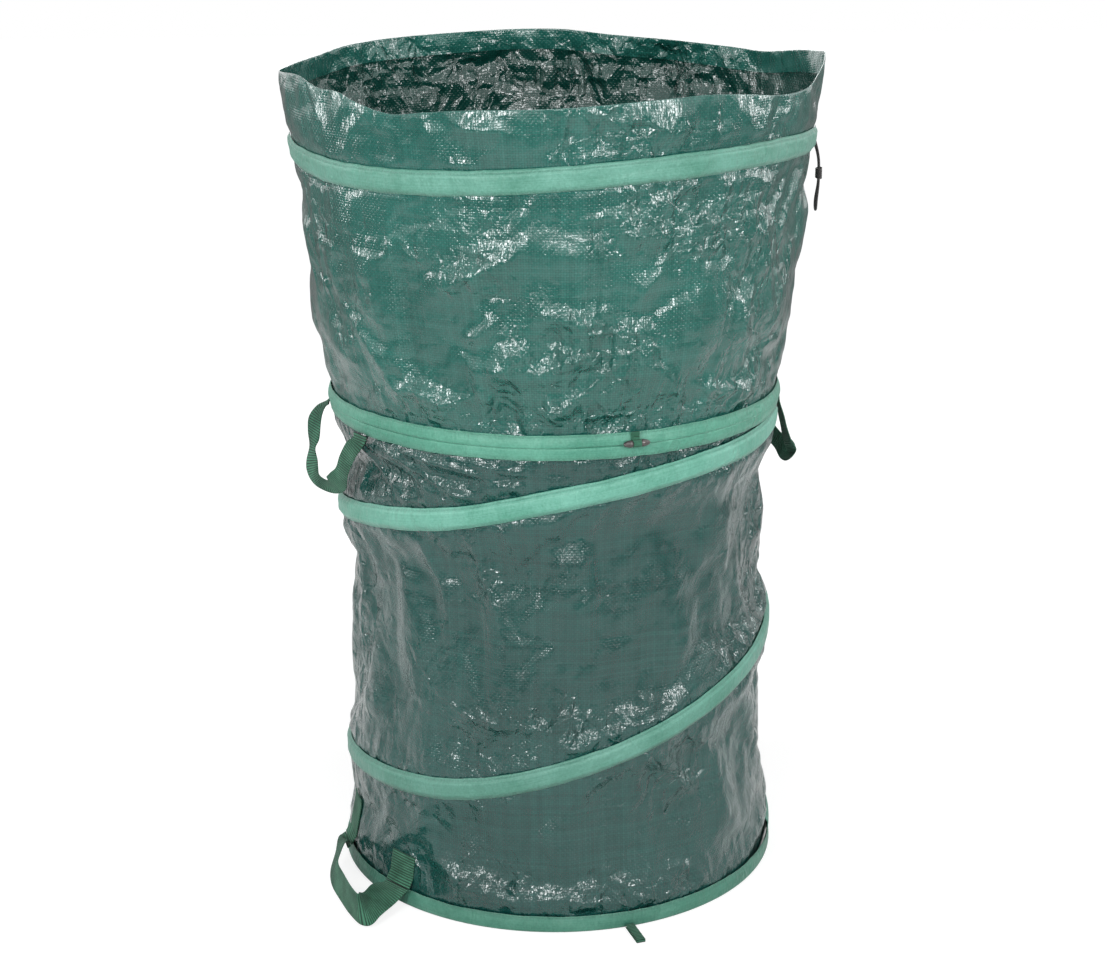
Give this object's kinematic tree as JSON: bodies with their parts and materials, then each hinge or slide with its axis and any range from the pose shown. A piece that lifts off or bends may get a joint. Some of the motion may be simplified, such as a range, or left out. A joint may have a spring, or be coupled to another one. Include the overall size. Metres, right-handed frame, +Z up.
{
  "type": "pop_up_leaf_bag",
  "caption": "Green pop up garden bag: a cloth tube held open by a sprung wire coil between a base ring and a waist ring, a drawstring collar above, webbing handles",
  "frame": {"origin": "on the floor under the middle of the base, where the base panel rests", "axes": "+Z up, -Y toward the picture's camera, +X to its right"},
  "size_m": [0.5848, 0.5585, 0.9139],
  "materials": {
    "woven_polyethylene": "glossy coated woven polyethylene tape fabric, fine tape weave, creased",
    "green_tape": "soft matt non-woven edging tape with two stitch lines",
    "green_webbing": "ribbed polypropylene webbing",
    "spring_steel": "bare spring steel wire, hidden in its sleeves",
    "black_cord": "braided black polyester cord",
    "bronze_toggle": "smooth moulded plastic, greyish brown"
  },
  "bodies": {
    "base": {"base_panel": "woven_polyethylene", "base_ring_wire": "spring_steel", "base_ring_sleeve": "green_tape", "lower_ferrule": "spring_steel", "wall_panel": "woven_polyethylene", "coil_wire": "spring_steel", "coil_sleeve": "green_tape", "base_handle_front_patch": "green_webbing", "base_handle_rear_patch": "green_webbing"},
    "waist": {"upper_ferrule": "spring_steel", "waist_ring_wire": "spring_steel", "waist_ring_sleeve": "green_tape", "collar_binding": "green_tape", "collar_lower": "woven_polyethylene"},
    "rim": {"collar_upper": "woven_polyethylene", "casing_front": "green_tape", "casing_back": "green_tape", "drawstring": "black_cord"},
    "left_handle": {"handle_left": "green_webbing"},
    "right_handle": {"handle_right": "green_webbing"},
    "bottom_handle": {"base_handle": "green_webbing"},
    "toggle_hanger": {"toggle": "bronze_toggle", "toggle_loop": "green_tape"},
    "closing_ribbon": {"closing_loop": "green_webbing"},
    "cord_tail": {"drawstring_tail": "black_cord", "drawstring_knot": "black_cord"}
  },
  "joints": [
    {"name": "collapse", "type": "slide", "parent": "base", "child": "waist", "axis": [0, 0, -1], "range_m": [0, 0.46], "stiffness_N_per_m": 20, "springref_m": -0.75, "deforming": ["wall_panel", "coil_wire", "coil_sleeve", "base_handle_front_patch", "base_handle_rear_patch"]},
    {"name": "collar_fold", "type": "slide", "parent": "waist", "child": "rim", "axis": [0, 0, -1], "range_m": [0, 0.2], "deforming": ["collar_lower"]},
    {"name": "handle_left_swing", "type": "hinge", "parent": "waist", "child": "left_handle", "pos_m": [-0.23254, -0.07781, 0.5337], "axis": [-0.3173, 0.9483, 0], "range_deg": [0, 120]},
    {"name": "handle_right_swing", "type": "hinge", "parent": "waist", "child": "right_handle", "pos_m": [0.23838, 0.06835, 0.5337], "axis": [0.2756, -0.9613, 0], "range_deg": [0, 120]},
    {"name": "base_handle_swing", "type": "hinge", "parent": "base", "child": "bottom_handle", "pos_m": [-0.21652, -0.12126, 0.0205], "axis": [-0.4886, 0.8725, 0], "range_deg": [0, 45]},
    {"name": "toggle_swing", "type": "hinge", "parent": "waist", "child": "toggle_hanger", "pos_m": [0.08162, -0.23704, 0.5612], "axis": [-0.9455, -0.3256, 0], "range_deg": [0, 120]},
    {"name": "closing_loop_swing", "type": "hinge", "parent": "base", "child": "closing_ribbon", "pos_m": [0.07744, -0.23833, 0.0041], "axis": [-0.9511, -0.309, 0], "range_deg": [0, 85]},
    {"name": "cord_tail_swing", "type": "hinge", "parent": "rim", "child": "cord_tail", "pos_m": [0.28153, 0, 0.8235], "axis": [0, -1, 0], "range_deg": [0, 60]}
  ]
}
